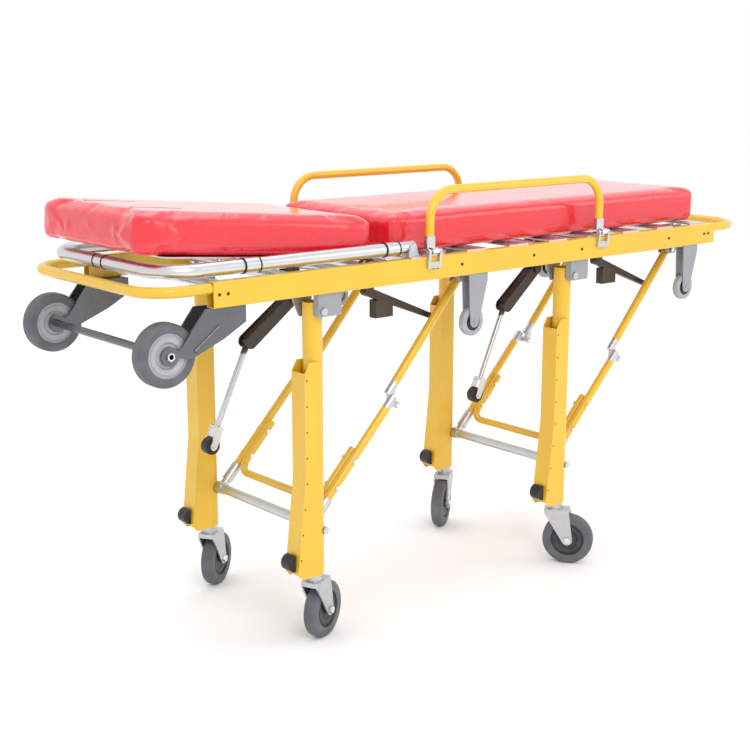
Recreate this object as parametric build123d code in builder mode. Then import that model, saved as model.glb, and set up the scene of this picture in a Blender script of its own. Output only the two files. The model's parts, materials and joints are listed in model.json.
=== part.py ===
"""Ambulance stretcher trolley: folding legs, tilting backrest, drop-down safety rails.

X runs from the head end (-) to the foot end (+), Y to the patient's left, Z up from the floor.
"""
from build123d import *
from math import atan2, cos, degrees, hypot, radians, sin
import os

os.makedirs("parts", exist_ok=True)

# ---------------------------------------------------------------- driving sizes (mm)
rail_length = 1555.0
rail_height = 50.0
rail_width = 25.0
rail_wall = 1.5
bed_width = 504.0            # over the outer faces of the two side rails
rail_top = 815.0             # above the floor

loop_diameter = 21.6         # head and foot handles
head_loop_reach = 141.0      # past the end of the rails, to the outside of the tube
foot_loop_reach = 157.5
head_loop_bend = 70.0
foot_loop_bend = 105.0
loop_socket = 45.0           # length inside the rail

leg_x = {"head": -506.0, "foot": 252.0}
leg_y = 202.0
leg_diameter = 42.0
leg_wall = 2.0
leg_bottom = 156.5
pivot_z = 727.0
pivot_pin = 12.0
running_gap = 0.05           # radial clearance of pins and axles

cross_tube_x = 15.0          # from the leg's axis
cross_tube_z = 252.0
cross_tube_diameter = 22.0
brace_diameter = 20.0
lower_link_y = 170.0
upper_link_y = 149.0
knuckle = (250.0, 498.0)     # brace knuckle, from the leg's axis and above the floor
brace_top = (465.0, 743.0)   # brace pivot under the frame, measured the same way
knuckle_sleeve = 32.0
u_tube_diameter = 18.0
u_tube_near = 55.0           # along the lower link, from the cross tube
u_tube_far = 195.0

caster_radius = 62.5
caster_width = 30.0
caster_trail = 34.0
axle_diameter = 10.0
caster_angle = {("head", -1): 23.0, ("head", 1): 33.0, ("foot", 1): -146.0, ("foot", -1): -54.0}

loading_radius = 62.5
loading_width = 34.0
loading_axle = (-872.5, 684.0)
loading_y = 222.0
aux_radius = 32.5
aux_width = 18.0
aux_x = (-88.0, 672.0)
aux_z = 658.0

mattress_width = 414.0
mattress_gap = 1.5           # over the deck and over the backrest panel
main_mattress_height = 84.0
back_mattress_height = 73.0
main_mattress_x = (-297.0, 772.0)
back_mattress_x = (-905.0, -322.0)
back_mattress_tilt = 5.0
deck_thickness = 3.0

backrest_tube_diameter = 28.0
backrest_y = 222.5           # axis of each arm
backrest_wall = 2.0
backrest_z = 836.0
backrest_head_x = -868.0     # axis of the head bar
backrest_bend = 75.0
backrest_pivot_x = -262.0

safety_x = (-217.0, 331.0)   # uprights of the safety rails
safety_top = 955.0
safety_diameter = 19.0
safety_y = 242.0
safety_bend = 62.0
safety_pivot_y = 257.0
safety_pivot_z = 828.0

# ---------------------------------------------------------------- worked-out places
half_length = rail_length / 2
half_width = bed_width / 2
rail_bottom = rail_top - rail_height
rail_y = half_width - rail_width / 2
rail_inner_y = half_width - rail_width
loop_z = rail_top - rail_wall - loop_diameter / 2
sides = (-1, 1)
pairs = ("head", "foot")
side_word = {-1: "right", 1: "left"}


def save(part, label):
    """Name a finished piece and write it to its own file."""
    part.label = label
    export_step(part, f"parts/{label}.step")


def along(start, end):
    """Plane at start whose normal points at end."""
    direction = Vector(*end) - Vector(*start)
    return Plane(origin=start, z_dir=direction)


def upright_plane(x, y, angle=0.0):
    """Vertical plane through (x, y): its own X is turned by angle, its own Y is up."""
    a = radians(angle)
    return Plane(origin=(x, y, 0), x_dir=(cos(a), sin(a), 0), z_dir=(sin(a), -cos(a), 0))


def knuckle_half(middle, way, y, sign):
    """Sleeve on one side of the brace knuckle, with the lug that carries its pin."""
    start = (middle[0] + sign * 0.8 * way[0], y, middle[1] + sign * 0.8 * way[1])
    end = (middle[0] + sign * knuckle_sleeve * way[0], y, middle[1] + sign * knuckle_sleeve * way[1])
    with BuildSketch(along(start, end)) as sleeve:
        Circle(brace_diameter / 2)
    extrude(sleeve.sketch, amount=knuckle_sleeve - 0.8)
    pin = (middle[0] + lug_offset * way[1] - 9 * way[0], middle[1] - lug_offset * way[0] - 9 * way[1])
    with BuildSketch(Plane.XZ.offset(-y - 5)) as lug:
        with Locations(pin):
            Circle(8.5)
        with Locations((middle[0] + sign * 16 * way[0], middle[1] + sign * 16 * way[1])):
            Circle(8)
        make_hull()
        with Locations(pin):
            Circle(3, mode=Mode.SUBTRACT)
    extrude(lug.sketch, amount=10)


# ---------------------------------------------------------------- side rails and handles
for side in sides:
    with BuildPart() as side_rail:
        with BuildSketch(Plane.YZ.offset(-half_length)):
            with Locations((side * rail_y, rail_top - rail_height / 2)):
                RectangleRounded(rail_width, rail_height, 2.5)
                Rectangle(rail_width - 2 * rail_wall, rail_height - 2 * rail_wall, mode=Mode.SUBTRACT)
        extrude(amount=rail_length)
    save(side_rail.part, f"side_rail_{side_word[side]}")

for end, sign, reach, bend in (
    ("head", -1, head_loop_reach, head_loop_bend),
    ("foot", 1, foot_loop_reach, foot_loop_bend),
):
    x_in = sign * (half_length - loop_socket)
    x_out = sign * (half_length + reach - loop_diameter / 2)
    with BuildPart() as loop:
        with BuildLine() as loop_path:
            corners = [(x_in, -rail_y, loop_z), (x_out, -rail_y, loop_z)]
            corners += [(x_out, rail_y, loop_z), (x_in, rail_y, loop_z)]
            FilletPolyline(*corners, radius=bend)
        with BuildSketch(Plane(origin=corners[0], z_dir=(sign, 0, 0))):
            Circle(loop_diameter / 2)
            Circle(loop_diameter / 2 - 2, mode=Mode.SUBTRACT)
        sweep()
    save(loop.part, f"{end}_handle")

# ---------------------------------------------------------------- deck between the rails
cross_member_diameter = 22.0
cross_member_z = 790.0
trigger_top = {"head": (-390.0, 708.0), "foot": (365.0, 708.0)}
release_top = (210.0, 732.0)          # pivot, from the leg's axis
cross_member_x = [-700.0, -150.0, 600.0]
for pair in pairs:
    cross_member_x += [leg_x[pair] - 22, leg_x[pair] + brace_top[0] + 22]
    cross_member_x += [trigger_top[pair][0], leg_x[pair] + release_top[0]]
with BuildPart() as cross_members:
    for x in cross_member_x:
        with BuildSketch(Plane.XZ.offset(-rail_inner_y)):
            with Locations((x, cross_member_z)):
                Circle(cross_member_diameter / 2)
                Circle(cross_member_diameter / 2 - 2, mode=Mode.SUBTRACT)
        extrude(amount=2 * rail_inner_y)
save(cross_members.part, "cross_members")

deck_x = (backrest_pivot_x + 30.0, half_length - 20.0)
slat_width = 62.0
slat_count = 8
with BuildPart() as deck_slats:
    slat_step = (deck_x[1] - deck_x[0] - slat_width) / (slat_count - 1)
    for i in range(slat_count):
        with Locations((deck_x[0] + slat_width / 2 + i * slat_step, 0, rail_top + deck_thickness / 2)):
            Box(slat_width, 2 * (rail_y - 4), deck_thickness)
save(deck_slats.part, "deck_slats")

mattress_bottom = rail_top + deck_thickness + mattress_gap
with BuildPart() as main_mattress:
    with BuildSketch(Plane.XY.offset(mattress_bottom)):
        with Locations(((main_mattress_x[0] + main_mattress_x[1]) / 2, 0)):
            RectangleRounded(main_mattress_x[1] - main_mattress_x[0], mattress_width, 24)
    extrude(amount=main_mattress_height)
    fillet(main_mattress.faces().sort_by(Axis.Z)[-1].edges(), 12)
save(main_mattress.part, "main_mattress")

# ---------------------------------------------------------------- leg pivots under the rails
box_length = 60.0
box_depth = 16.5
box_start = -13.0
box_bottom = rail_bottom - 49.0
inner_plate = 5.0
leg_side = leg_diameter / 2 + 0.5
with BuildPart() as leg_boxes:
    for pair in pairs:
        for side in sides:
            x = leg_x[pair]
            y = side * (leg_y + leg_side + box_depth / 2 + 0.5)
            with BuildSketch(Plane.XZ.offset(-y - box_depth / 2)):
                with Locations((x + box_start + box_length / 2, (rail_bottom + box_bottom) / 2)):
                    RectangleRounded(box_length, rail_bottom - box_bottom, 4)
                with Locations((x, pivot_z)):
                    Circle(pivot_pin / 2, mode=Mode.SUBTRACT)
            extrude(amount=box_depth)
save(leg_boxes.part, "leg_pivot_boxes")

plate_y = leg_y - leg_side - inner_plate
with BuildPart() as leg_brackets:
    for pair in pairs:
        for side in sides:
            x = leg_x[pair]
            y = side * (plate_y + inner_plate / 2)
            with BuildSketch(Plane.XZ.offset(-y - inner_plate / 2)):
                with BuildLine():
                    outline = [(x - 16, pivot_z - 16), (x + 16, pivot_z - 16), (x + 16, cross_member_z)]
                    outline += [(x - 36, cross_member_z), (x - 36, pivot_z + 30)]
                    Polyline(*outline, close=True)
                make_face()
                for hole_x in cross_member_x:
                    with Locations((hole_x, cross_member_z)):
                        Circle(cross_member_diameter / 2, mode=Mode.SUBTRACT)
                with Locations((x, pivot_z)):
                    Circle(pivot_pin / 2, mode=Mode.SUBTRACT)
            extrude(amount=inner_plate)
            inner = plate_y - 3
            outer = leg_y + leg_side + box_depth
            with BuildSketch(Plane.XZ.offset(-side * inner)):
                with Locations((leg_x[pair], pivot_z)):
                    Circle(pivot_pin / 2)
            extrude(amount=-side * (outer - inner))
save(leg_brackets.part, "leg_pivot_plates")

# ---------------------------------------------------------------- brace brackets under the frame
bracket_thickness = 4.0
with BuildPart() as brace_brackets:
    for pair in pairs:
        x = leg_x[pair] + brace_top[0]
        for side in sides:
            for gap_side in sides:
                face = side * upper_link_y + gap_side * (brace_diameter / 2 + 0.6 + bracket_thickness / 2)
                with BuildSketch(Plane.XZ.offset(-face - bracket_thickness / 2)):
                    with BuildLine():
                        outline = [(x - 16, brace_top[1] - 10), (x + 16, brace_top[1] - 10)]
                        outline += [(x + 38, rail_bottom + 8)]
                        outline += [(x + 38, rail_top - 8), (x - 30, rail_top - 8), (x - 30, rail_bottom + 8)]
                        Polyline(*outline, close=True)
                    make_face()
                    for hole_x in cross_member_x:
                        with Locations((hole_x, cross_member_z)):
                            Circle(cross_member_diameter / 2, mode=Mode.SUBTRACT)
                    with Locations((x, brace_top[1])):
                        Circle(4, mode=Mode.SUBTRACT)
                extrude(amount=bracket_thickness)
            with BuildSketch(Plane.XZ.offset(-side * upper_link_y - 18)):
                with Locations((x, brace_top[1])):
                    Circle(4)
            extrude(amount=36)
save(brace_brackets.part, "brace_brackets")

# ---------------------------------------------------------------- folding legs and braces
link_start = (cross_tube_x, cross_tube_z)
lower_length = hypot(knuckle[0] - link_start[0], knuckle[1] - link_start[1])
upper_length = hypot(brace_top[0] - knuckle[0], brace_top[1] - knuckle[1])
lower_way = ((knuckle[0] - link_start[0]) / lower_length, (knuckle[1] - link_start[1]) / lower_length)
upper_way = ((brace_top[0] - knuckle[0]) / upper_length, (brace_top[1] - knuckle[1]) / upper_length)
tee_hub = 15.0
tee_width = 19.0
lug_offset = 19.0
stem_diameter = 18.0
bolt_head = 8.0
cover_top = 622.0
cover_reach = 17.0           # past the leg's face, toward the head
cover_foot_reach = 39.0
cover_sheet = 1.5

for pair in pairs:
    base_x = leg_x[pair]
    start = (base_x + link_start[0], link_start[1])
    middle = (base_x + knuckle[0], knuckle[1])
    top = (base_x + brace_top[0], brace_top[1])

    with BuildPart() as legs:
        for side in sides:
            with BuildSketch(Plane.XY.offset(leg_bottom)):
                with Locations((base_x, side * leg_y)):
                    Circle(leg_diameter / 2)
                    Circle(leg_diameter / 2 - leg_wall, mode=Mode.SUBTRACT)
            extrude(amount=pivot_z + 17 - leg_bottom)
        with BuildSketch(Plane.XZ.offset(-leg_y - leg_diameter)):
            with Locations((base_x, pivot_z)):
                Circle(pivot_pin / 2 + running_gap)
        extrude(amount=2 * (leg_y + leg_diameter), mode=Mode.SUBTRACT)
        for radius, reach in ((cross_tube_diameter / 2, leg_y + 4), (bolt_head, leg_y + leg_diameter)):
            with BuildSketch(Plane.XZ.offset(-reach)):
                with Locations(start):
                    Circle(radius)
            extrude(amount=2 * reach, mode=Mode.SUBTRACT)
    save(legs.part, f"{pair}_legs")

    # folded sheet cover on the head side of each leg, wider at its foot
    leg_face = base_x - leg_diameter / 2
    edge = [(leg_face - cover_foot_reach, leg_bottom + 12), (leg_face - cover_reach, 372)]
    edge += [(leg_face - cover_reach, cover_top - 22)]
    with BuildPart() as covers:
        for side in sides:
            for face in sides:
                y = side * leg_y + face * (leg_diameter / 2 + 0.1 + cover_sheet / 2)
                with BuildSketch(Plane.XZ.offset(-y - cover_sheet / 2)):
                    with BuildLine():
                        outline = [(base_x - 2, leg_bottom), (edge[0][0] + 11, leg_bottom)] + edge
                        outline += [(leg_face - 4, cover_top), (base_x - 2, cover_top)]
                        Polyline(*outline, close=True)
                    make_face()
                extrude(amount=cover_sheet)
            with BuildSketch(Plane.XZ.offset(-side * leg_y - leg_diameter / 2 - 0.1)):
                with BuildLine():
                    outline = edge + [(x + cover_sheet, z) for x, z in reversed(edge)]
                    Polyline(*outline, close=True)
                make_face()
            extrude(amount=leg_diameter + 0.2)
    save(covers.part, f"{pair}_leg_covers")

    bumper_x = leg_face - cover_foot_reach - 0.5
    with BuildPart() as bumpers:
        for side in sides:
            with BuildSketch(Plane.XZ.offset(-side * leg_y - 14)):
                with Locations((bumper_x, leg_bottom + 36)):
                    Circle(18)
                with Locations((bumper_x + 22, leg_bottom + 36)):
                    Rectangle(44, 50, mode=Mode.SUBTRACT)
            extrude(amount=28)
    save(bumpers.part, f"{pair}_leg_bumpers")

    with BuildPart() as cross_tube:
        with BuildSketch(Plane.XZ.offset(-leg_y - 4)):
            with Locations(start):
                Circle(cross_tube_diameter / 2)
        extrude(amount=2 * leg_y + 8)
        for side in sides:
            with BuildSketch(Plane.XZ.offset(-side * (leg_y + 4))):
                with Locations(start):
                    RegularPolygon(bolt_head, 6)
            extrude(amount=-side * 20)
            # socket inside the leg that the caster stem turns in
            with BuildSketch(Plane.XY.offset(leg_bottom)):
                with Locations((base_x, side * leg_y)):
                    Circle(leg_diameter / 2 - leg_wall)
                    Circle(stem_diameter / 2 + running_gap, mode=Mode.SUBTRACT)
            extrude(amount=45)
    save(cross_tube.part, f"{pair}_cross_tube")

    with BuildPart() as lower_links:
        for side in sides:
            y = side * lower_link_y
            a = (start[0] + 22 * lower_way[0], y, start[1] + 22 * lower_way[1])
            b = (middle[0] - 12 * lower_way[0], y, middle[1] - 12 * lower_way[1])
            with BuildSketch(along(a, b)):
                Circle(brace_diameter / 2)
                Circle(brace_diameter / 2 - 2, mode=Mode.SUBTRACT)
            extrude(amount=lower_length - 34 - knuckle_sleeve + 12)
    save(lower_links.part, f"{pair}_lower_links")

    with BuildPart() as lower_fittings:
        for side in sides:
            y = side * lower_link_y
            with BuildSketch(Plane.XZ.offset(-y - tee_width / 2)):
                with Locations(start):
                    Circle(tee_hub)
                    Circle(cross_tube_diameter / 2 + running_gap, mode=Mode.SUBTRACT)
            extrude(amount=tee_width)
            a = (start[0] + 12.5 * lower_way[0], y, start[1] + 12.5 * lower_way[1])
            with BuildSketch(along(a, (middle[0], y, middle[1]))):
                Circle(brace_diameter / 2 - 0.3)
            extrude(amount=9.5)
            b = (start[0] + 22 * lower_way[0], y, start[1] + 22 * lower_way[1])
            with BuildSketch(along(b, (middle[0], y, middle[1]))):
                Circle(brace_diameter / 2 + 3)
                Circle(brace_diameter / 2, mode=Mode.SUBTRACT)
            extrude(amount=44)
            knuckle_half(middle, lower_way, y, -1)
    save(lower_fittings.part, f"{pair}_lower_fittings")

    with BuildPart() as knuckles:
        for side in sides:
            knuckle_half(middle, upper_way, side * upper_link_y, 1)
    save(knuckles.part, f"{pair}_upper_knuckles")

    with BuildPart() as upper_links:
        for side in sides:
            y = side * upper_link_y
            a = (middle[0] + knuckle_sleeve * upper_way[0], y, middle[1] + knuckle_sleeve * upper_way[1])
            with BuildSketch(along(a, (top[0], y, top[1]))):
                Circle(brace_diameter / 2)
                Circle(brace_diameter / 2 - 2, mode=Mode.SUBTRACT)
            extrude(amount=upper_length - knuckle_sleeve + 9)
            with BuildSketch(Plane.XZ.offset(-y - brace_diameter)):
                with Locations(top):
                    Circle(4 + running_gap)
            extrude(amount=2 * brace_diameter, mode=Mode.SUBTRACT)
    save(upper_links.part, f"{pair}_upper_links")

    # bent tube bolted along the inner side of both lower links
    u_y = lower_link_y - brace_diameter / 2 - u_tube_diameter / 2 - 0.3
    with BuildPart() as u_tube:
        near = (start[0] + u_tube_near * lower_way[0], start[1] + u_tube_near * lower_way[1])
        far = (start[0] + u_tube_far * lower_way[0], start[1] + u_tube_far * lower_way[1])
        with BuildLine():
            u_corners = [(far[0], -u_y, far[1]), (near[0], -u_y, near[1])]
            u_corners += [(near[0], u_y, near[1]), (far[0], u_y, far[1])]
            FilletPolyline(*u_corners, radius=34)
        with BuildSketch(along(u_corners[0], u_corners[1])):
            Circle(u_tube_diameter / 2)
            Circle(u_tube_diameter / 2 - 2, mode=Mode.SUBTRACT)
        sweep()
    save(u_tube.part, f"{pair}_u_tube")

# ---------------------------------------------------------------- swivel casters
axle_z = caster_radius
cheek_gap = caster_width / 2 + 1.5
cheek = 4.0
for pair in pairs:
    for side in sides:
        x, y = leg_x[pair], side * leg_y
        angle = caster_angle[(pair, side)]
        a = radians(angle)
        across = Vector(sin(a), -cos(a), 0)
        hub_x, hub_y = x + caster_trail * cos(a), y + caster_trail * sin(a)
        with BuildPart() as fork:
            with BuildSketch(Plane.XY.offset(2 * caster_radius + 4.5)):
                with Locations((x, y)):
                    Circle(21)
            extrude(amount=11)
            with BuildSketch(Plane.XY.offset(2 * caster_radius + 15.5)):
                with Locations((x, y)):
                    Circle(17.5)
            extrude(amount=leg_bottom - 0.5 - 2 * caster_radius - 15.5)
            with BuildSketch(Plane.XY.offset(2 * caster_radius + 4.5)):
                with Locations(Location((x + 6 * cos(a), y + 6 * sin(a)), angle)):
                    RectangleRounded(62, 2 * (cheek_gap + cheek), 7)
            extrude(amount=10)
            for face in sides:
                offset = face * (cheek_gap + cheek / 2)
                plane = upright_plane(x + offset * across.X, y + offset * across.Y, angle)
                with BuildSketch(plane.offset(-cheek / 2)):
                    with Locations((caster_trail, axle_z)):
                        Circle(13)
                    with Locations((-14, 2 * caster_radius + 5)):
                        Circle(9)
                    with Locations((28, 2 * caster_radius + 5)):
                        Circle(9)
                    make_hull()
                extrude(amount=cheek)
            plane = upright_plane(x, y, angle).offset(-(cheek_gap + cheek + 5))
            with BuildSketch(plane):
                with Locations((caster_trail, axle_z)):
                    Circle(axle_diameter / 2)
            extrude(amount=2 * (cheek_gap + cheek + 5))
            with BuildSketch(Plane.XY.offset(leg_bottom - 0.5)):
                with Locations((x, y)):
                    Circle(stem_diameter / 2)
            extrude(amount=40)
        save(fork.part, f"{pair}_{side_word[side]}_caster_fork")

        with BuildPart() as wheel:
            plane = upright_plane(x, y, angle).offset(-caster_width / 2)
            with BuildSketch(plane):
                with Locations((caster_trail, axle_z)):
                    Circle(caster_radius)
                    Circle(axle_diameter / 2 + running_gap, mode=Mode.SUBTRACT)
            extrude(amount=caster_width)
            chamfer(wheel.edges().filter_by(GeomType.CIRCLE).group_by(SortBy.RADIUS)[-1], 5)
        save(wheel.part, f"{pair}_{side_word[side]}_caster_wheel")

# ---------------------------------------------------------------- loading wheels at the head end
fork_sheet = 4.0
fork_outer = 242.0           # middle of the outer plate
fork_inner = 202.0
fork_hub = 19.0
axle_bar_diameter = 16.0
fork_outline = [(-770, rail_bottom), (-699, rail_bottom), (-699, 731), (-751, 703), (-826, 673)]
fork_outline += [(loading_axle[0], loading_axle[1]), (-846, 698), (-792, rail_bottom)]
with BuildPart() as loading_forks:
    for side in sides:
        for face in (fork_inner, fork_outer):
            with BuildSketch(Plane.XZ.offset(-side * face - fork_sheet / 2)):
                with BuildLine():
                    Polyline(*fork_outline, close=True)
                make_face()
                with Locations(loading_axle):
                    Circle(fork_hub)
                    Circle(axle_diameter / 2, mode=Mode.SUBTRACT)
            extrude(amount=fork_sheet)
        with Locations((-735, side * (fork_inner + fork_outer) / 2, rail_bottom - 2)):
            Box(66, fork_outer - fork_inner - fork_sheet, 4)
        rib_y = side * (fork_outer + fork_sheet / 2 - 0.5)
        with BuildSketch(along((-761, rib_y, 729), (-818, rib_y, 687))):
            Circle(fork_sheet)
        extrude(amount=hypot(57, 42))
    inner = fork_inner - fork_sheet / 2
    with BuildSketch(Plane.XZ.offset(-inner)):
        with Locations(loading_axle):
            Circle(axle_bar_diameter / 2)
    extrude(amount=2 * inner)
    for side in sides:
        with BuildSketch(Plane.XZ.offset(-side * inner)):
            with Locations(loading_axle):
                Circle(axle_diameter / 2)
        extrude(amount=-side * (fork_outer - inner + fork_sheet / 2 + 5))
save(loading_forks.part, "loading_forks")

for side in sides:
    with BuildPart() as loading_wheel:
        with BuildSketch(Plane.XZ.offset(-side * loading_y - loading_width / 2)):
            with Locations(loading_axle):
                Circle(loading_radius)
                Circle(axle_diameter / 2 + running_gap, mode=Mode.SUBTRACT)
        extrude(amount=loading_width)
        chamfer(loading_wheel.edges().filter_by(GeomType.CIRCLE).group_by(SortBy.RADIUS)[-1], 6)
    save(loading_wheel.part, f"loading_wheel_{side_word[side]}")

# ---------------------------------------------------------------- fixed wheels under the rails
aux_sheet = 2.5
aux_gap = aux_width / 2 + 0.8
aux_top_half = 28.0
aux_axle = 4.0               # radius
aux_axle_end = 1.5           # past the fork's plates
aux_places = [(x, side) for x in aux_x for side in sides]
with BuildPart() as aux_forks:
    for x, side in aux_places:
        y = side * rail_y
        for face in sides:
            plate_y = y + face * (aux_gap + aux_sheet / 2)
            with BuildSketch(Plane.XZ.offset(-plate_y - aux_sheet / 2)):
                with Locations((x, aux_z)):
                    Circle(13)
                with Locations((x + 10, rail_bottom - 8)):
                    Rectangle(2 * aux_top_half, 16)
                make_hull()
            extrude(amount=aux_sheet)
        with Locations((x + 10, y, rail_bottom - 1.5)):
            Box(2 * aux_top_half, 2 * aux_gap, 3)
        with BuildSketch(Plane.XZ.offset(-y - aux_gap - aux_sheet - aux_axle_end)):
            with Locations((x, aux_z)):
                Circle(aux_axle)
        extrude(amount=2 * (aux_gap + aux_sheet + aux_axle_end))
save(aux_forks.part, "aux_wheel_forks")

for x, side in aux_places:
    place = "middle" if x == aux_x[0] else "foot"
    with BuildPart() as aux_wheel:
        with BuildSketch(Plane.XZ.offset(-side * rail_y - aux_width / 2)):
            with Locations((x, aux_z)):
                Circle(aux_radius)
                Circle(aux_axle + running_gap, mode=Mode.SUBTRACT)
        extrude(amount=aux_width)
        chamfer(aux_wheel.edges().filter_by(GeomType.CIRCLE).group_by(SortBy.RADIUS)[-1], 3)
    save(aux_wheel.part, f"aux_wheel_{place}_{side_word[side]}")

# ---------------------------------------------------------------- tilting backrest
panel_sheet = 2.5
bar_diameter = 10.0
bar_reaches = (170.0, 290.0, 410.0)      # along the pad, from its foot edge
arm_end = backrest_pivot_x + 12
arm_pin = 4.0
tilt = radians(back_mattress_tilt)
pad_length = (back_mattress_x[1] - back_mattress_x[0]) / cos(tilt)
pad_plane = Plane(
    origin=(back_mattress_x[1], 0, 820), x_dir=(-cos(tilt), 0, sin(tilt)), z_dir=(sin(tilt), 0, cos(tilt))
)
with BuildPart() as backrest_tube:
    with BuildLine():
        u_corners = [(arm_end, -backrest_y, backrest_z), (backrest_head_x, -backrest_y, backrest_z)]
        u_corners += [(backrest_head_x, backrest_y, backrest_z), (arm_end, backrest_y, backrest_z)]
        FilletPolyline(*u_corners, radius=backrest_bend)
    with BuildSketch(Plane(origin=u_corners[0], z_dir=(-1, 0, 0))):
        Circle(backrest_tube_diameter / 2)
        Circle(backrest_tube_diameter / 2 - backrest_wall, mode=Mode.SUBTRACT)
    sweep()
    with BuildSketch(Plane.XZ.offset(-half_width)):
        with Locations((backrest_pivot_x, backrest_z)):
            Circle(arm_pin + running_gap)
    extrude(amount=2 * half_width, mode=Mode.SUBTRACT)
save(backrest_tube.part, "backrest_tube")

with BuildPart() as backrest_collars:
    for side in sides:
        for x in (-690.0, -330.0):
            with BuildSketch(Plane.YZ.offset(x)):
                with Locations((side * backrest_y, backrest_z)):
                    Circle(backrest_tube_diameter / 2 + 1.2)
                    Circle(backrest_tube_diameter / 2, mode=Mode.SUBTRACT)
            extrude(amount=34)
save(backrest_collars.part, "backrest_collars")

with BuildPart() as backrest_panel:
    with BuildSketch(pad_plane.offset(-mattress_gap - panel_sheet)):
        with Locations((pad_length / 2 - 20, 0)):
            RectangleRounded(pad_length - 60, 2 * backrest_y - backrest_tube_diameter - 8, 15)
    extrude(amount=panel_sheet)
    for reach in bar_reaches:
        middle = pad_plane.from_local_coords((reach, 0, -mattress_gap - panel_sheet - bar_diameter / 2))
        with BuildSketch(Plane.XZ.offset(-backrest_y)):
            with Locations((middle.X, middle.Z)):
                Circle(bar_diameter / 2)
        extrude(amount=2 * backrest_y)
    for side in sides:
        with BuildSketch(Plane.YZ.offset(backrest_head_x)):
            with Locations((side * backrest_y, backrest_z)):
                Circle(backrest_tube_diameter / 2)
        extrude(amount=arm_end - backrest_head_x, mode=Mode.SUBTRACT)
        outer_end = Plane.XZ.offset(-side * (backrest_y - bar_diameter / 2))
        split(bisect_by=outer_end, keep=Keep.TOP if side > 0 else Keep.BOTTOM)
save(backrest_panel.part, "backrest_panel")

# the pad's foot end is hollowed round the pivot, so that it clears the main pad as it tilts
pad_clearance = 1.5
main_mattress_top = mattress_bottom + main_mattress_height
pad_sweep = hypot(main_mattress_x[0] - backrest_pivot_x, main_mattress_top - backrest_z) + pad_clearance
with BuildPart() as back_mattress:
    with BuildSketch(pad_plane):
        with Locations((pad_length / 2, 0)):
            RectangleRounded(pad_length, mattress_width, 28)
    extrude(amount=back_mattress_height)
    fillet(back_mattress.faces().sort_by(Axis.Z)[-1].edges(), 14)
    with BuildSketch(Plane.XZ.offset(-half_width)):
        with Locations((backrest_pivot_x, backrest_z)):
            Circle(pad_sweep)
    extrude(amount=bed_width, mode=Mode.SUBTRACT)
save(back_mattress.part, "back_mattress")

socket_wall = 2.5
socket_height = 22.0
socket_start = safety_pivot_z + 9.0
socket_half = 9.0
hinge_pin = 3.0
block_sheet = 6.0
block_gap = 3.5              # beside the hinge of each upright, so that the folded socket passes

# ears on the rails, each with the pin that an arm of the backrest turns on
ear = 4.0
ear_y = backrest_y + backrest_tube_diameter / 2 + 0.6 + ear / 2
with BuildPart() as rail_fittings:
    for side in sides:
        with BuildSketch(Plane.XZ.offset(-side * ear_y - ear / 2)):
            with Locations((backrest_pivot_x, backrest_z)):
                Circle(9)
            with Locations((backrest_pivot_x, rail_top + 1.5)):
                Rectangle(30, 3)
            make_hull()
        extrude(amount=ear)
        with Locations((backrest_pivot_x, side * rail_y, rail_top + 1.5)):
            Box(30, rail_width - 4, 3)
        with BuildSketch(Plane.XZ.offset(-side * ear_y)):
            with Locations((backrest_pivot_x, backrest_z)):
                Circle(arm_pin)
        extrude(amount=side * (backrest_tube_diameter + 2))
    # hinge blocks of the safety rails on the rails' outer faces
    block_offset = socket_half + block_gap + block_sheet / 2
    for side in sides:
        for x in safety_x:
            for face in sides:
                with BuildSketch(Plane.YZ.offset(x + face * block_offset - block_sheet / 2)):
                    with Locations((side * safety_pivot_y, safety_pivot_z)):
                        Circle(safety_pivot_y - half_width)
                    with Locations((side * (half_width + 3), rail_top - 17)):
                        Rectangle(6, 10)
                    make_hull()
                extrude(amount=block_sheet)
            with Locations((x, side * (half_width + 3), rail_top - 17)):
                Box(2 * block_offset + block_sheet, 6, 14)
            with BuildSketch(Plane.YZ.offset(x - block_offset)):
                with Locations((side * safety_pivot_y, safety_pivot_z)):
                    Circle(hinge_pin)
            extrude(amount=2 * block_offset)
save(rail_fittings.part, "rail_fittings")

# ---------------------------------------------------------------- drop-down safety rails
for side in sides:
    with BuildPart() as safety_rail:
        with BuildLine():
            y = side * safety_y
            u_corners = [(safety_x[0], y, socket_start), (safety_x[0], y, safety_top)]
            u_corners += [(safety_x[1], y, safety_top), (safety_x[1], y, socket_start)]
            FilletPolyline(*u_corners, radius=safety_bend)
        with BuildSketch(Plane.XY.offset(socket_start)):
            with Locations(u_corners[0][:2]):
                Circle(safety_diameter / 2)
                Circle(safety_diameter / 2 - 2, mode=Mode.SUBTRACT)
        sweep()
    save(safety_rail.part, f"safety_rail_{side_word[side]}")

    with BuildPart() as sockets:
        for x in safety_x:
            with BuildSketch(Plane.XY.offset(socket_start)):
                with Locations((x, side * safety_y)):
                    Circle(safety_diameter / 2 + socket_wall)
                    Circle(safety_diameter / 2, mode=Mode.SUBTRACT)
            extrude(amount=socket_height)
            with BuildSketch(Plane.XY.offset(socket_start)):
                with Locations((x, side * safety_y)):
                    Circle(safety_diameter / 2 + socket_wall)
            extrude(amount=-4)
            with BuildSketch(Plane.YZ.offset(x - socket_half)):
                with Locations((side * safety_pivot_y, safety_pivot_z)):
                    Circle(7)
                with Locations((side * safety_y, socket_start - 4)):
                    Circle(4)
                make_hull()
                with Locations((side * safety_pivot_y, safety_pivot_z)):
                    Circle(hinge_pin + running_gap, mode=Mode.SUBTRACT)
            extrude(amount=2 * socket_half)
    save(sockets.part, f"safety_rail_sockets_{side_word[side]}")

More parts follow.
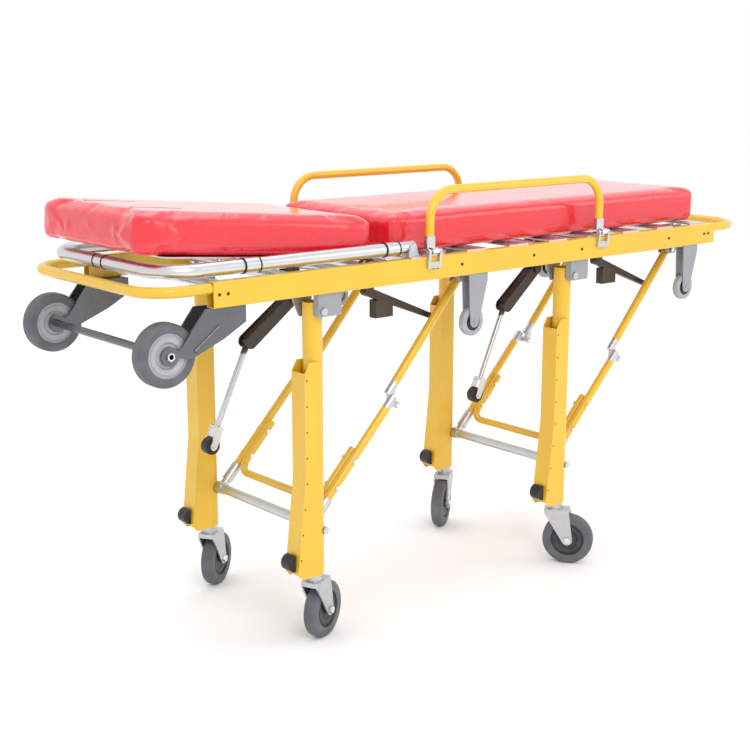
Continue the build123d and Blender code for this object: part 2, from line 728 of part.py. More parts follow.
# ---------------------------------------------------------------- trigger arms
trigger_y = {"head": 30.0, "foot": 0.0}
trigger_bend = {"head": (-506.0, 624.0), "foot": (262.0, 622.0)}
trigger_tip = {"head": (-610.0, 406.0), "foot": (164.0, 406.0)}
channel_width = 30.0
channel_sheet = 3.0
rod_diameter = 14.0
roller_radius = 19.0
roller_width = 22.0
clevis_length = 44.0
clevis_sheet = 3.2
trigger_pin = 5.0
for pair in pairs:
    y = trigger_y[pair]
    top, bend, tip = trigger_top[pair], trigger_bend[pair], trigger_tip[pair]
    upper = hypot(top[0] - bend[0], top[1] - bend[1])
    way = ((top[0] - bend[0]) / upper, (top[1] - bend[1]) / upper)
    with BuildPart() as trigger_arm:
        for face in sides:
            cheek_y = y + face * (channel_width - channel_sheet) / 2
            with BuildSketch(Plane.XZ.offset(-cheek_y - channel_sheet / 2)):
                with Locations(top):
                    Circle(13)
                with Locations(bend):
                    Circle(15)
                make_hull()
                with Locations(top):
                    Circle(trigger_pin + running_gap, mode=Mode.SUBTRACT)
            extrude(amount=channel_sheet)
        web_start = (bend[0] - 12 * way[1], y, bend[1] + 12 * way[0])
        with BuildSketch(Plane(origin=web_start, x_dir=(way[0], 0, way[1]), z_dir=(-way[1], 0, way[0]))):
            with Locations((upper / 2 - 10, 0)):
                Rectangle(upper - 20, channel_width - 2 * channel_sheet)
        extrude(amount=-2.5)
        rod_way = Vector(tip[0] - bend[0], 0, tip[1] - bend[1]).normalized()
        rod_length = hypot(tip[0] - bend[0], tip[1] - bend[1]) - clevis_length
        with BuildSketch(Plane(origin=(bend[0], y, bend[1]), z_dir=rod_way)):
            Circle(rod_diameter / 2)
        extrude(amount=rod_length + 2)
        with BuildSketch(Plane.XZ.offset(-y - channel_width / 2 + channel_sheet)):
            with Locations(bend):
                Circle(9)
        extrude(amount=channel_width - 2 * channel_sheet)
        rod_plane = Plane(origin=(bend[0], y, bend[1]), z_dir=rod_way, x_dir=(0, 1, 0))
        with BuildSketch(rod_plane.offset(rod_length)):
            Rectangle(roller_width + 2 * clevis_sheet + 1, 18)
        extrude(amount=5)
        shoulder = (bend[0] + rod_way.X * (rod_length + 5), bend[1] + rod_way.Z * (rod_length + 5))
        for face in sides:
            cheek_y = y + face * (roller_width + clevis_sheet + 1) / 2
            with BuildSketch(Plane.XZ.offset(-cheek_y - clevis_sheet / 2)):
                with Locations(tip):
                    Circle(9)
                with Locations(shoulder):
                    Circle(8)
                make_hull()
            extrude(amount=clevis_sheet)
        with BuildSketch(Plane.XZ.offset(-y - roller_width / 2 - 6)):
            with Locations(tip):
                Circle(4)
        extrude(amount=roller_width + 12)
    save(trigger_arm.part, f"{pair}_trigger_arm")

    with BuildPart() as roller:
        with BuildSketch(Plane.XZ.offset(-y - roller_width / 2)):
            with Locations(tip):
                Circle(roller_radius)
                Circle(4 + running_gap, mode=Mode.SUBTRACT)
        extrude(amount=roller_width)
        fillet(roller.edges().filter_by(GeomType.CIRCLE).group_by(SortBy.RADIUS)[-1], 3)
    save(roller.part, f"{pair}_trigger_roller")

# ---------------------------------------------------------------- release links and brackets under the frame
release_y = -126.0
release_end = (400.0, 656.0)          # from the leg's axis
release_pin = 4.0
release_width = 14.0
clamp_box = (254.0, 691.0)            # centre, from the leg's axis
for pair in pairs:
    x0 = leg_x[pair]
    with BuildPart() as release:
        with BuildSketch(Plane.XZ.offset(-release_y - release_width / 2)):
            with Locations((x0 + release_top[0], release_top[1])):
                Circle(10)
            with Locations((x0 + release_end[0], release_end[1])):
                Circle(6)
            make_hull()
            with Locations((x0 + release_top[0], release_top[1])):
                Circle(release_pin + running_gap, mode=Mode.SUBTRACT)
        extrude(amount=release_width)
        with Locations((x0 + clamp_box[0], release_y + 3, clamp_box[1])):
            Box(50, release_width + 8, 40)
    save(release.part, f"{pair}_release_link")

bracket_gap = 0.4
plate = 4.0
with BuildPart() as link_brackets:
    for pair in pairs:
        pivots = [(trigger_top[pair], trigger_y[pair], channel_width, trigger_pin)]
        pivots += [((leg_x[pair] + release_top[0], release_top[1]), release_y, release_width, release_pin)]
        for top, y, width, pin in pivots:
            for face in sides:
                plate_at = y + face * (width / 2 + bracket_gap + plate / 2)
                with BuildSketch(Plane.XZ.offset(-plate_at - plate / 2)):
                    with Locations(top):
                        Circle(pin + 6)
                    with Locations((top[0], cross_member_z)):
                        Circle(15)
                    make_hull()
                    with Locations((top[0], cross_member_z)):
                        Circle(cross_member_diameter / 2, mode=Mode.SUBTRACT)
                extrude(amount=plate)
            pin_reach = width / 2 + bracket_gap + plate + 0.8
            with BuildSketch(Plane.XZ.offset(-y - pin_reach)):
                with Locations(top):
                    Circle(pin)
            extrude(amount=2 * pin_reach)
save(link_brackets.part, "link_brackets")
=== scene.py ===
import bpy
import bmesh
import json
from math import atan2, cos, pi, radians, sin
from mathutils import Euler, Matrix, Vector, noise

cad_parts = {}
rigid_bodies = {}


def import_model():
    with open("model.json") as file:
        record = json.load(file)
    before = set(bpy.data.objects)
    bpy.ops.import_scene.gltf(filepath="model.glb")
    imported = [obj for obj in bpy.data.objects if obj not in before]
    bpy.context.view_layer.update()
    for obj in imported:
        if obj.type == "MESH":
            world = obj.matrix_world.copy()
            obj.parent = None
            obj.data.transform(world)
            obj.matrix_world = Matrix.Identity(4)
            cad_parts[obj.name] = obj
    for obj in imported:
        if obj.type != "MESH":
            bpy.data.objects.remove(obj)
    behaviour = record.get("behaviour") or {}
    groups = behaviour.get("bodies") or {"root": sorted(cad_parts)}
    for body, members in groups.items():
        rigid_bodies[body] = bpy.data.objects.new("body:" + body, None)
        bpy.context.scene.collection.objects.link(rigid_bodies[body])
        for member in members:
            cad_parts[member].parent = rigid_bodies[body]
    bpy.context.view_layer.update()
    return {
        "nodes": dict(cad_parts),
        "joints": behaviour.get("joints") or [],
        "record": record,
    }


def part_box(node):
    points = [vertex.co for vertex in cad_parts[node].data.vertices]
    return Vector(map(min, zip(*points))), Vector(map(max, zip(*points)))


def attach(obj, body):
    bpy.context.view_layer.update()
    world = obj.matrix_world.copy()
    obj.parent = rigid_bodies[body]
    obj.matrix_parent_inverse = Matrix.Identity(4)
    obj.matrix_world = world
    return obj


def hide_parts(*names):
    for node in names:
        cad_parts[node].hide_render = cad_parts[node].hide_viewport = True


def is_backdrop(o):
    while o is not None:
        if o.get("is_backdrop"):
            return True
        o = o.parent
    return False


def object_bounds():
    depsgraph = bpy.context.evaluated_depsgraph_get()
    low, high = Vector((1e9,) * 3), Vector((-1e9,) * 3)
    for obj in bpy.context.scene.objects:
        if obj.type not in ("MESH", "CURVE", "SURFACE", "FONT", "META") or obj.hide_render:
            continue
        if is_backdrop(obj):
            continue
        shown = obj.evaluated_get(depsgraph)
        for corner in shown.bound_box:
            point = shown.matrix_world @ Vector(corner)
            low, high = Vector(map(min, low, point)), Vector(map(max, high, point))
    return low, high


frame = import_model()
nodes = frame["nodes"]
mm = 0.001


# shader values as Python expressions
class Wire:
    def __init__(self, shade, socket):
        self.shade = shade
        self.socket = socket

    def maths(self, operation, first, second):
        return self.shade.node("ShaderNodeMath", {"operation": operation}, {0: first, 1: second})

    def __add__(self, other):
        return self.maths("ADD", self, other)

    __radd__ = __add__

    def __sub__(self, other):
        return self.maths("SUBTRACT", self, other)

    def __rsub__(self, other):
        return self.maths("SUBTRACT", other, self)

    def __mul__(self, other):
        return self.maths("MULTIPLY", self, other)

    __rmul__ = __mul__

    def __pow__(self, other):
        return self.maths("POWER", self, other)


class Shade:
    def __init__(self, name, **fixed):
        self.material = bpy.data.materials.new(name)
        self.material.use_nodes = True
        self.tree = self.material.node_tree
        self.surface = self.tree.nodes["Principled BSDF"]
        for socket, value in fixed.items():
            self.put(socket.replace("_", " "), value)

    def feed(self, socket, value):
        if isinstance(value, Wire):
            self.tree.links.new(value.socket, socket)
        else:
            socket.default_value = value

    def put(self, socket, value):
        self.feed(self.surface.inputs[socket], value)

    def node(self, kind, settings=None, inputs=None, output=0):
        made = self.tree.nodes.new(kind)
        for key, value in (settings or {}).items():
            if key == "stops":
                for place, (at, shadeOfGrey) in enumerate(value):
                    stop = made.color_ramp.elements[place]
                    stop.position = at
                    stop.color = (shadeOfGrey, shadeOfGrey, shadeOfGrey, 1)
            else:
                setattr(made, key, value)
        for key, value in (inputs or {}).items():
            self.feed(made.inputs[key], value)
        return Wire(self, made.outputs[output])

    def noise(self, scale, detail=3.0, stretch=(1, 1, 1)):
        where = self.node("ShaderNodeTexCoord", output="Object")
        where = self.node("ShaderNodeMapping", None, {"Vector": where, "Scale": stretch})
        return self.node("ShaderNodeTexNoise", None, {"Vector": where, "Scale": scale, "Detail": detail})

    def mix(self, factor, first, second):
        return self.node("ShaderNodeMix", {"data_type": "RGBA"}, {0: factor, 6: first, 7: second}, 2)

    def band(self, value, low, high):
        return self.node("ShaderNodeValToRGB", {"stops": ((low, 0), (high, 1))}, {0: value})

    def bump(self, height, distance, strength=1.0):
        shape = {"Height": height, "Distance": distance, "Strength": strength}
        self.put("Normal", self.node("ShaderNodeBump", None, shape))


def powderCoat():
    shade = Shade("yellowPowderCoat", Coat_Weight=0.35, Coat_Roughness=0.12)
    cloud = shade.noise(9)
    peel = shade.noise(700, 2)
    shade.put("Base Color", shade.mix(cloud, (0.74, 0.435, 0.02, 1), (0.81, 0.505, 0.028, 1)))
    shade.put("Roughness", 0.26 + 0.12 * shade.noise(60))
    shade.bump(peel, 0.00012, 0.5)
    return shade.material


def redVinyl():
    shade = Shade("redVinyl", Coat_Weight=0.8, Coat_Roughness=0.1)
    grain = shade.noise(900, 2)
    creases = shade.noise(14, 4, (1, 1.6, 2.4))
    shade.put("Base Color", shade.mix(shade.noise(6), (0.72, 0.008, 0.022, 1), (0.80, 0.016, 0.034, 1)))
    shade.put("Roughness", 0.2 + 0.12 * shade.noise(35))
    shade.bump(creases + 0.35 * shade.noise(48, 3) + 0.04 * grain, 0.005, 0.6)
    return shade.material


def metal(name, dark, light, roughness, stretch=(1, 1, 1), metallic=1.0, grain=0.00008, scale=420):
    shade = Shade(name, Metallic=metallic)
    marks = shade.noise(scale, 3, stretch)
    shade.put("Base Color", shade.mix(shade.noise(30), (*dark, 1), (*light, 1)))
    shade.put("Roughness", roughness + 0.14 * marks)
    shade.bump(marks, grain, 0.6)
    return shade.material


def triggerWithPaintedReflection():
    # the channel above the joint height is painted dark brown as a painted reflection of the red pad and yellow
    # frame in bare bright metal; the rod and clevis below it stay bright
    shade = Shade("triggerArmPaintedReflection")
    where = shade.node("ShaderNodeTexCoord", output="Object")
    height = shade.node("ShaderNodeSeparateXYZ", None, {0: where}, "Z")
    paintedReflectionBand = shade.band(height, 0.598, 0.602)
    marks = shade.noise(300)
    # painted reflection: dark brown above the joint height, bright metal below
    shade.put("Base Color", shade.mix(paintedReflectionBand, (0.66, 0.66, 0.68, 1), (0.075, 0.06, 0.05, 1)))
    shade.put("Metallic", 1 - 0.25 * paintedReflectionBand)
    shade.put("Roughness", 0.2 + 0.12 * paintedReflectionBand + 0.12 * marks)
    shade.bump(marks, 0.0001, 0.5)
    return shade.material


def rubber(name, dark, light, roughness=0.5):
    shade = Shade(name)
    dust = shade.noise(25, 5)
    shade.put("Base Color", shade.mix(shade.band(dust, 0.4, 0.75), (*dark, 1), (*light, 1)))
    shade.put("Roughness", roughness + 0.2 * dust)
    shade.bump(shade.noise(600, 3), 0.00015, 0.5)
    return shade.material


materials = {
    "yellow": powderCoat(),
    "vinyl": redVinyl(),
    # the trigger finish carries a painted reflection in its dark upper band
    "trigger": triggerWithPaintedReflection(),
    # dark red for the slot hems, and painted shade for the inside of the strap slots
    "seam": rubber("darkRedHemAndSlotShade", (0.35, 0.004, 0.01), (0.45, 0.006, 0.014), 0.3),
    "silver": metal("satinSteel", (0.62, 0.62, 0.64), (0.72, 0.72, 0.74), 0.22, (0.15, 1, 1)),
    "aluminium": metal("aluminium", (0.55, 0.56, 0.58), (0.66, 0.67, 0.69), 0.3),
    "cast": metal("castZinc", (0.50, 0.51, 0.53), (0.62, 0.63, 0.65), 0.34, grain=0.0004, scale=260),
    "chrome": metal("chrome", (0.70, 0.71, 0.73), (0.78, 0.79, 0.81), 0.06),
    "gunmetal": metal("gunmetalPaint", (0.12, 0.125, 0.135), (0.17, 0.175, 0.19), 0.2, metallic=0.75),
    "grey": metal("greyPaint", (0.30, 0.31, 0.33), (0.36, 0.37, 0.39), 0.36, metallic=0.35),
    "bronze": metal("darkBronze", (0.07, 0.055, 0.042), (0.12, 0.095, 0.075), 0.32, metallic=0.8),
    "tyre": rubber("greyTyre", (0.095, 0.098, 0.11), (0.15, 0.155, 0.17)),
    "black": rubber("blackPlastic", (0.008, 0.008, 0.009), (0.02, 0.02, 0.022), 0.35),
    "hub": rubber("paleHub", (0.34, 0.35, 0.37), (0.44, 0.45, 0.47), 0.3),
    "core": rubber("darkHub", (0.03, 0.031, 0.034), (0.06, 0.062, 0.067), 0.35),
}
print("materials ready")

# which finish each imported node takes; wheels and mattresses are replaced further down
finishOf = {
    "side_rail": "yellow", "handle": "yellow", "safety_rail_sockets": "chrome", "safety_rail": "yellow",
    "_legs": "yellow", "leg_covers": "yellow", "lower_links": "yellow", "upper_links": "yellow",
    "u_tube": "yellow", "bumpers": "black", "roller": "black", "collars": "silver", "caster_fork": "cast",
    "loading_forks": "gunmetal", "cross_tube": "aluminium", "fittings": "aluminium",
    "upper_knuckles": "aluminium", "backrest_tube": "silver", "trigger_arm": "trigger",
    "link_brackets": "bronze", "release_link": "bronze", "deck_slats": "silver", "cross_members": "silver",
    "backrest_panel": "silver",
}
for name, piece in nodes.items():
    finish = next((look for key, look in finishOf.items() if key in name), "grey")
    piece.data.materials.clear()
    piece.data.materials.append(materials[finish])


def place(mesh, centre, axis):
    turn = Vector((0, 0, 1)).rotation_difference(Vector(axis)).to_matrix().to_4x4()
    bmesh.ops.transform(mesh, matrix=Matrix.Translation(centre) @ turn, verts=mesh.verts)


def finishPiece(name, mesh, look, body, replaced=(), sharp=35):
    bmesh.ops.remove_doubles(mesh, verts=mesh.verts, dist=1e-6)
    bmesh.ops.recalc_face_normals(mesh, faces=mesh.faces)
    data = bpy.data.meshes.new(name)
    mesh.to_mesh(data)
    mesh.free()
    data.shade_smooth()
    data.set_sharp_from_angle(angle=radians(sharp))
    data.materials.append(materials[look])
    piece = bpy.data.objects.new(name, data)
    bpy.context.scene.collection.objects.link(piece)
    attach(piece, body)
    if replaced:
        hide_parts(*replaced)
    return piece


def spinProfile(mesh, profile, steps=64):
    # the profile is a closed loop of (radius, place along the axis)
    corners = [mesh.verts.new((radius, 0, along)) for radius, along in profile]
    edges = [mesh.edges.new(pair) for pair in zip(corners, corners[1:] + corners[:1])]
    spun = {"cent": (0, 0, 0), "axis": (0, 0, 1), "angle": 2 * pi, "steps": steps, "use_merge": True}
    bmesh.ops.spin(mesh, geom=corners + edges, **spun)


def mirrored(half):
    return half + [(radius, -along) for radius, along in reversed(half)]


def wheel(name, node, body, centre, axis, sizes):
    radius, width, hubRadius = sizes["radius"], sizes["width"], sizes["hubRadius"]
    edge = width / 2
    shoulder = sizes["shoulder"]
    tyre = bmesh.new()
    tread = [(hubRadius, edge - 1.2 * mm), (hubRadius + 1.5 * mm, edge), (radius - shoulder, edge)]
    for step in range(1, 6):
        a = step / 5 * pi / 2
        tread.append((radius - shoulder + shoulder * sin(a), edge - shoulder + shoulder * cos(a)))
    spinProfile(tyre, mirrored(tread))
    place(tyre, centre, axis)
    finishPiece(name + "_tyre", tyre, sizes["tyreLook"], body, (node,))
    hub = bmesh.new()
    bore = sizes["bore"]
    disc = [(bore, edge), (bore + 5 * mm, edge), (bore + 6 * mm, edge - 3 * mm)]
    disc += [(hubRadius * 0.55, edge - 5 * mm), (hubRadius * 0.62, edge - 2.6 * mm)]
    disc += [(hubRadius * 0.84, edge - 2.6 * mm), (hubRadius * 0.88, edge - 4.4 * mm)]
    disc += [(hubRadius * 0.95, edge - 4.4 * mm), (hubRadius * 0.97, edge - 1.4 * mm)]
    disc += [(hubRadius, edge - 1.4 * mm)]
    spinProfile(hub, mirrored(disc))
    place(hub, centre, axis)
    finishPiece(name + "_hub", hub, sizes["hubLook"], body)
    bearing = bmesh.new()
    race = [(bore + 0.4 * mm, edge + 0.6 * mm), (bore + 3.4 * mm, edge + 0.6 * mm)]
    race += [(bore + 3.8 * mm, edge - 1 * mm)]
    spinProfile(bearing, mirrored(race), 32)
    place(bearing, centre, axis)
    finishPiece(name + "_bearing", bearing, "chrome", body)


casterWheel = {
    "radius": 62.5 * mm, "width": 30 * mm, "hubRadius": 41 * mm, "shoulder": 7 * mm,
    "bore": 5.1 * mm, "tyreLook": "tyre", "hubLook": "core",
}
loadingWheel = {
    "radius": 62.5 * mm, "width": 33 * mm, "hubRadius": 43 * mm, "shoulder": 7 * mm,
    "bore": 5.1 * mm, "tyreLook": "tyre", "hubLook": "hub",
}
auxWheel = {
    "radius": 32.5 * mm, "width": 17.4 * mm, "hubRadius": 20 * mm, "shoulder": 5 * mm,
    "bore": 4.1 * mm, "tyreLook": "hub", "hubLook": "core",
}
for joint in frame["joints"]:
    if "wheel_spin" in joint["name"] or joint["name"].startswith(("loading", "aux")):
        body = joint["child"]
        node = frame["record"]["behaviour"]["bodies"][body][0]
        sizes = casterWheel if "caster" in node else loadingWheel if "loading" in node else auxWheel
        wheel(node + "_look", node, body, joint["pos_m"], joint["axis"], sizes)
print("wheels ready")


# bolts, screws and nuts, and black discs painted as the shade inside the cover holes
def bolt(mesh, centre, axis, radius, height, sides=6):
    head = bmesh.ops.create_cone(
        mesh, cap_ends=True, segments=sides, radius1=radius, radius2=radius, depth=height
    )["verts"]
    rim = [e for e in mesh.edges if e.verts[0] in head and e.verts[1] in head]
    rim = [e for e in rim if abs(e.verts[0].co.z - e.verts[1].co.z) < 1e-7]
    bevel = {"offset": height * 0.22, "segments": 2, "affect": "EDGES", "profile": 0.5, "material": -1}
    shaped = bmesh.ops.bevel(mesh, geom=rim, **bevel)
    grown = {v for f in shaped["faces"] for v in f.verts} | {v for v in head if v.is_valid}
    turn = Vector((0, 0, 1)).rotation_difference(Vector(axis)).to_matrix().to_4x4()
    bmesh.ops.transform(mesh, matrix=Matrix.Translation(centre) @ turn, verts=list(grown))


railLow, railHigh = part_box("side_rail_left")
screws = {"x": (-765, -745, -215, -203, -130, 98, 262, 590, 735, 752), "drop": 24 * mm, "radius": 3.2 * mm}
mesh = bmesh.new()
for side in (-1, 1):
    for x in screws["x"]:
        spot = (x * mm, side * (railHigh.y + 0.6 * mm), railHigh.z - screws["drop"])
        bolt(mesh, spot, (0, side, 0), screws["radius"], 2.2 * mm, 20)
finishPiece("railScrews", mesh, "black", "frame")

legBolt = {"radius": 7.5 * mm, "height": 5 * mm}
coverHoleShade = {"count": 8, "first": 200 * mm, "step": 55 * mm, "radius": 2 * mm}
for joint in frame["joints"]:
    if not joint["name"].endswith("leg_fold"):
        continue
    pair = joint["name"].split("_")[0]
    body = joint["child"]
    coverLow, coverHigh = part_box(f"{pair}_leg_covers")
    # painted shade: small black discs stand in for the shade inside the holes down each leg cover
    holeShade = bmesh.new()
    for side in (-1, 1):
        for step in range(coverHoleShade["count"]):
            height = coverHoleShade["first"] + step * coverHoleShade["step"]
            slope = max(0.0, (372 * mm - height) / (204 * mm)) * 22 * mm
            spot = (joint["pos_m"][0] - 33 * mm - slope, side * (coverHigh.y - 0.4 * mm), height)
            bolt(holeShade, spot, (0, side, 0), coverHoleShade["radius"], 1.2 * mm, 16)
    finishPiece(f"{pair}_coverHoleShade", holeShade, "black", body)
    caps = bmesh.new()
    for side in (-1, 1):
        bolt(caps, (joint["pos_m"][0], side * 243 * mm, joint["pos_m"][2]), (0, side, 0), 9 * mm, 5 * mm)
    finishPiece(f"{pair}_pivotCaps", caps, "cast", "frame")

for joint in frame["joints"]:
    if "wheel_spin" in joint["name"]:
        nuts = bmesh.new()
        axis = Vector(joint["axis"])
        for side in (-1, 1):
            bolt(nuts, Vector(joint["pos_m"]) + axis * side * 23.5 * mm, axis * side, 9 * mm, 6 * mm)
        finishPiece(joint["name"] + "_nuts", nuts, "chrome", joint["parent"])
    if joint["name"].startswith("loading"):
        nuts = bmesh.new()
        outward = 1 if joint["pos_m"][1] > 0 else -1
        spot = Vector((joint["pos_m"][0], outward * 246.5 * mm, joint["pos_m"][2]))
        bolt(nuts, spot, (0, outward, 0), 9 * mm, 5 * mm)
        finishPiece(joint["name"] + "_nut", nuts, "chrome", "frame")

# heads and nuts along each folding brace, measured from the leg's pivot and along the lower link
brace = {
    "foot": (15 * mm, 252 * mm), "knuckle": (250 * mm, 498 * mm), "top": (465 * mm, 743 * mm),
    "lugOut": 19 * mm, "lugBack": 9 * mm, "lowerFace": 176.5 * mm, "upperFace": 142.5 * mm,
    "tubeBolts": (98 * mm, 168 * mm), "tubeFace": 140 * mm, "linkFace": 181 * mm,
    "topFaces": (129.5 * mm, 168.5 * mm), "radius": 6.5 * mm, "height": 4 * mm,
}


def wayBetween(first, second):
    return Vector((second[0] - first[0], 0, second[1] - first[1])).normalized()


def braceHeads(name, body, spots):
    heads = bmesh.new()
    for side in (-1, 1):
        for x, z, y, outward in spots:
            bolt(heads, (x, side * y, z), (0, side * outward, 0), brace["radius"], brace["height"])
    finishPiece(name, heads, "chrome", body)


for joint in frame["joints"]:
    pair = joint["name"].split("_")[0]
    legX = (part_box(f"{pair}_legs")[0].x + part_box(f"{pair}_legs")[1].x) / 2 if pair in ("head", "foot") else 0
    if joint["name"].endswith("lower_brace_fold"):
        foot = Vector((legX + brace["foot"][0], 0, brace["foot"][1]))
        way = wayBetween(brace["foot"], brace["knuckle"])
        lug = Vector((legX + brace["knuckle"][0], 0, brace["knuckle"][1]))
        lug += Vector((way.z, 0, -way.x)) * brace["lugOut"] - way * brace["lugBack"]
        spots = [(lug.x, lug.z, brace["lowerFace"], 1)]
        for reach in brace["tubeBolts"]:
            spot = foot + way * reach
            spots += [(spot.x, spot.z, brace["tubeFace"], -1), (spot.x, spot.z, brace["linkFace"], 1)]
        braceHeads(f"{pair}_lowerHeads", joint["child"], spots)
    if joint["name"].endswith("upper_brace_fold"):
        way = wayBetween(brace["knuckle"], brace["top"])
        lug = Vector((legX + brace["knuckle"][0], 0, brace["knuckle"][1]))
        lug += Vector((way.z, 0, -way.x)) * brace["lugOut"] - way * brace["lugBack"]
        braceHeads(f"{pair}_upperHeads", joint["child"], [(lug.x, lug.z, brace["upperFace"], -1)])
        near, far = brace["topFaces"]
        topX, topZ = legX + brace["top"][0], brace["top"][1]
        braceHeads(f"{pair}_topHeads", "frame", [(topX, topZ, near, -1), (topX, topZ, far, 1)])
print("bolts ready")


# dark rings round the backrest tube
def ring(mesh, centre, axis, radius, thickness):
    across = [(radius - 0.2 * mm, -thickness), (radius + 0.9 * mm, -thickness)]
    across += [(radius + 0.9 * mm, thickness), (radius - 0.2 * mm, thickness)]
    loop = bmesh.new()
    spinProfile(loop, across, 40)
    bmesh.ops.recalc_face_normals(loop, faces=loop.faces)
    place(loop, centre, axis)
    data = bpy.data.meshes.new("ring")
    loop.to_mesh(data)
    loop.free()
    mesh.from_mesh(data)
    bpy.data.meshes.remove(data)


tubeRings = {"radius": 14 * mm, "half": 1.3 * mm, "height": 836 * mm, "arm": 222.5 * mm, "head": -868 * mm}
mesh = bmesh.new()
for side in (-1, 1):
    for x in (-691, -655, -331, -295):
        spot = (x * mm, side * tubeRings["arm"], tubeRings["height"])
        ring(mesh, spot, (1, 0, 0), tubeRings["radius"] + 1.2 * mm, tubeRings["half"])
for y in (-12, 22):
    spot = (tubeRings["head"], y * mm, tubeRings["height"])
    ring(mesh, spot, (0, 1, 0), tubeRings["radius"], tubeRings["half"])
finishPiece("backrestRings", mesh, "black", "backrest")

# padded mattresses
def pad(name, node, body, sizes):
    low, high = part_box(node)
    tilt = sizes["tilt"]
    length, width, height = sizes["length"], high.y - low.y - 6 * mm, sizes["height"]
    mesh = bmesh.new()
    bmesh.ops.create_cube(mesh, size=1)
    bmesh.ops.scale(mesh, vec=(length, width, height), verts=mesh.verts)
    upright = [e for e in mesh.edges if abs(e.verts[0].co.z - e.verts[1].co.z) > height / 2]
    bevel = {"segments": 6, "affect": "EDGES", "profile": 0.5, "material": -1}
    bmesh.ops.bevel(mesh, geom=upright, offset=sizes["cornerRadius"], **bevel)
    rims = [e for e in mesh.edges if abs(e.verts[0].co.z - e.verts[1].co.z) < 1e-6 and len(e.link_faces) == 2
            and abs(e.link_faces[0].normal.z) + abs(e.link_faces[1].normal.z) > 0.9
            and abs(e.link_faces[0].normal.z) + abs(e.link_faces[1].normal.z) < 1.1]
    bmesh.ops.bevel(mesh, geom=rims, offset=sizes["edgeRadius"], **bevel)
    data = bpy.data.meshes.new(name)
    mesh.to_mesh(data)
    mesh.free()
    piece = bpy.data.objects.new(name, data)
    bpy.context.scene.collection.objects.link(piece)
    bpy.context.view_layer.objects.active = piece
    remesh = piece.modifiers.new("remesh", "REMESH")
    remesh.mode = "VOXEL"
    remesh.voxel_size = sizes["voxel"]
    bpy.ops.object.modifier_apply(modifier="remesh")
    rest = [v.co.copy() for v in piece.data.vertices]
    cloth = piece.modifiers.new("cloth", "CLOTH")
    cloth.settings.use_pressure = True
    cloth.settings.uniform_pressure_force = 4
    cloth.settings.effector_weights.gravity = 0
    for step in range(1, 21):
        bpy.context.scene.frame_set(step)
    bpy.ops.object.modifier_apply(modifier="cloth")
    bpy.context.scene.frame_set(1)
    cap = sizes["cap"]
    half = Vector((length / 2, width / 2, height / 2))
    for v, start in zip(piece.data.vertices, rest):
        move = v.co - start
        if move.length > cap:
            move *= cap / move.length
        v.co = start + move
        # gathers run down the sides near the corners and across the hinge end
        nearEnd = min(1.0, max(0.0, (half.x - abs(start.x)) / (90 * mm)))
        nearSide = min(1.0, max(0.0, (half.y - abs(start.y)) / (90 * mm)))
        corner = (1 - nearEnd) * (1 - nearSide)
        turn = atan2(start.y, start.x) * 60
        ripple = noise.noise(Vector((start.x * 26, start.y * 26, start.z * 9))) * 3.0 * mm
        v.co += Vector((start.x, start.y, 0)).normalized() * corner * (sin(turn) * 0.9 * mm + ripple)
        v.co.z += ripple * 0.35 * (1 - nearSide * nearEnd)
        v.co.z = max(v.co.z, -height / 2)
        # sewn seam round the side, near the lower edge
        seam = abs(start.z + height / 2 - sizes["seam"])
        if seam < 6 * mm and (nearEnd < 0.35 or nearSide < 0.35):
            inward = Vector((start.x / half.x ** 2, start.y / half.y ** 2, 0)).normalized()
            v.co -= inward * 1.6 * mm * (1 - seam / (6 * mm))
    subdivide = piece.modifiers.new("smooth", "SUBSURF")
    subdivide.levels = 1
    subdivide.render_levels = 1
    bpy.ops.object.modifier_apply(modifier="smooth")
    piece.data.shade_smooth()
    turned = Matrix.Translation(sizes["centre"]) @ Euler((0, tilt, 0)).to_matrix().to_4x4()
    piece.data.transform(turned)
    piece.data.materials.append(materials["vinyl"])
    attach(piece, body)
    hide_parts(node)
    print(name, "ready,", len(piece.data.vertices), "points")
    return turned


low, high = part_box("main_mattress")
mainPad = {
    "length": high.x - low.x - 8 * mm, "height": high.z - low.z - 5 * mm, "tilt": 0.0,
    "cornerRadius": 22 * mm, "edgeRadius": 13 * mm, "voxel": 6 * mm, "cap": 7 * mm, "seam": 14 * mm,
    "centre": ((low.x + high.x) / 2, 0, (low.z + high.z) / 2 - 1 * mm),
}
pad("mainPad", "main_mattress", "frame", mainPad)
low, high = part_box("back_mattress")
tilt = radians(5)
backPad = {
    "length": 582 * mm, "height": 74 * mm, "tilt": tilt,
    "cornerRadius": 32 * mm, "edgeRadius": 15 * mm, "voxel": 5 * mm, "cap": 9 * mm, "seam": 13 * mm,
    "centre": ((low.x + high.x) / 2 - 6 * mm, 0, (low.z + high.z) / 2 + 1 * mm),
}
backPlace = pad("backPad", "back_mattress", "backrest", backPad)
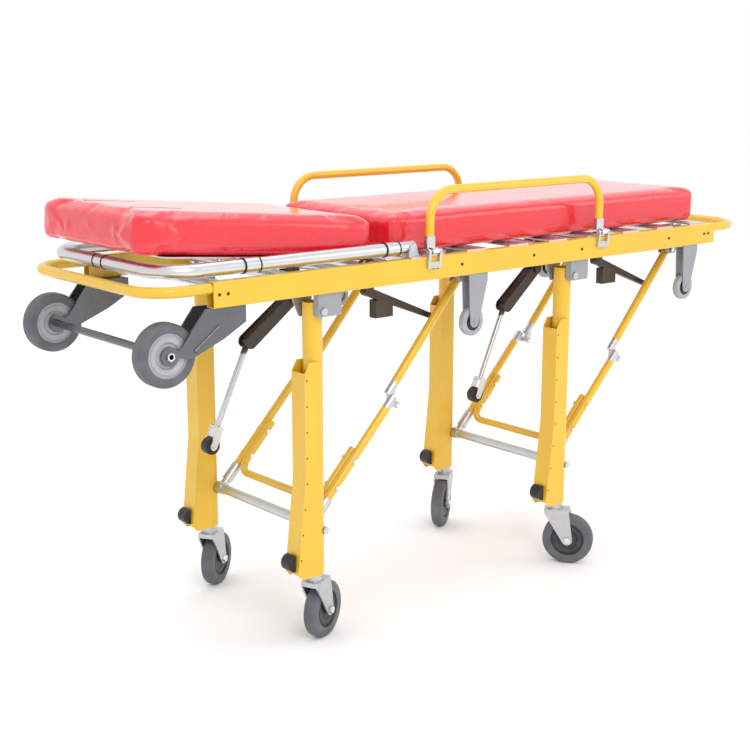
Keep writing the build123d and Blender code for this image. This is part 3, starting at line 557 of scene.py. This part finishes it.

# two hemmed strap slots in the top of the back pad; their dark red is the hem's colour and painted shade in the
# shallow openings
slots = {"length": 118 * mm, "width": 9 * mm, "hem": 1.6 * mm, "fromHead": 105 * mm, "across": 90 * mm}
unplace = backPlace.inverted()
surface = [unplace @ v.co for v in bpy.data.objects["backPad"].data.vertices]
for side in (-1, 1):
    middle = Vector((slots["fromHead"] - backPad["length"] / 2, side * slots["across"], 0))
    close = [p.z for p in surface if abs(p.x - middle.x) < 50 * mm and abs(p.y - middle.y) < 8 * mm]
    middle.z = max(close) - 0.6 * mm
    mesh = bmesh.new()
    bmesh.ops.create_cube(mesh, size=1)
    bmesh.ops.scale(mesh, vec=(slots["length"], slots["width"], 1.6 * mm), verts=mesh.verts)
    upright = [e for e in mesh.edges if abs(e.verts[0].co.z - e.verts[1].co.z) > 1 * mm]
    rounding = {"segments": 5, "affect": "EDGES", "profile": 0.5, "material": -1}
    bmesh.ops.bevel(mesh, geom=upright, offset=4.4 * mm, **rounding)
    lid = [f for f in mesh.faces if f.normal.z > 0.9]
    bmesh.ops.inset_region(mesh, faces=lid, thickness=slots["hem"])
    bmesh.ops.translate(mesh, vec=(0, 0, -1 * mm), verts=list({v for f in lid for v in f.verts}))
    bmesh.ops.transform(mesh, matrix=backPlace @ Matrix.Translation(middle), verts=mesh.verts)
    # painted shade: the whole slot piece, opening included, takes the dark red
    finishPiece(f"strapSlot_{'right' if side < 0 else 'left'}", mesh, "seam", "backrest")

# camera, floor and light
camera = bpy.data.objects.new("camera", bpy.data.cameras.new("camera"))
camera.data.sensor_width = 36
camera.data.lens = 65.37
camera.location = (-2.1852, -2.3839, 1.2142)
camera.rotation_euler = (pi / 2 - 0.2235, -0.001, -0.7026)
bpy.context.scene.collection.objects.link(camera)
bpy.context.scene.camera = camera

mesh = bmesh.new()
bmesh.ops.create_grid(mesh, x_segments=1, y_segments=1, size=30)
data = bpy.data.meshes.new("floor")
mesh.to_mesh(data)
mesh.free()
paleFloor = Shade("paleFloor", Base_Color=(1, 1, 1, 1), Roughness=1.0, Specular_IOR_Level=0.0)
data.materials.append(paleFloor.material)
floor = bpy.data.objects.new("floor", data)
bpy.context.scene.collection.objects.link(floor)
floor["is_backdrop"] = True

bpy.context.scene.view_settings.view_transform = "Standard"
world = bpy.data.worlds.new("studio")
world.use_nodes = True
world.node_tree.nodes["Background"].inputs["Color"].default_value = (1, 1, 1, 1)
world.node_tree.nodes["Background"].inputs["Strength"].default_value = 1.0
bpy.context.scene.world = world
lights = (
    ("key", (-1.4, -2.8, 2.6), 1.4, 30),
    ("fill", (2.6, -2.6, 2.0), 1.8, 14),
    ("top", (0.1, 0.6, 3.4), 2.6, 26),
)
for name, spot, size, power in lights:
    lamp = bpy.data.lights.new(name, "AREA")
    lamp.size = size
    lamp.energy = power
    holder = bpy.data.objects.new(name, lamp)
    holder.location = spot
    holder.rotation_euler = (Vector((0, 0, 0.5)) - Vector(spot)).to_track_quat("-Z", "Y").to_euler()
    bpy.context.scene.collection.objects.link(holder)
print("stage ready")

low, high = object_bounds()
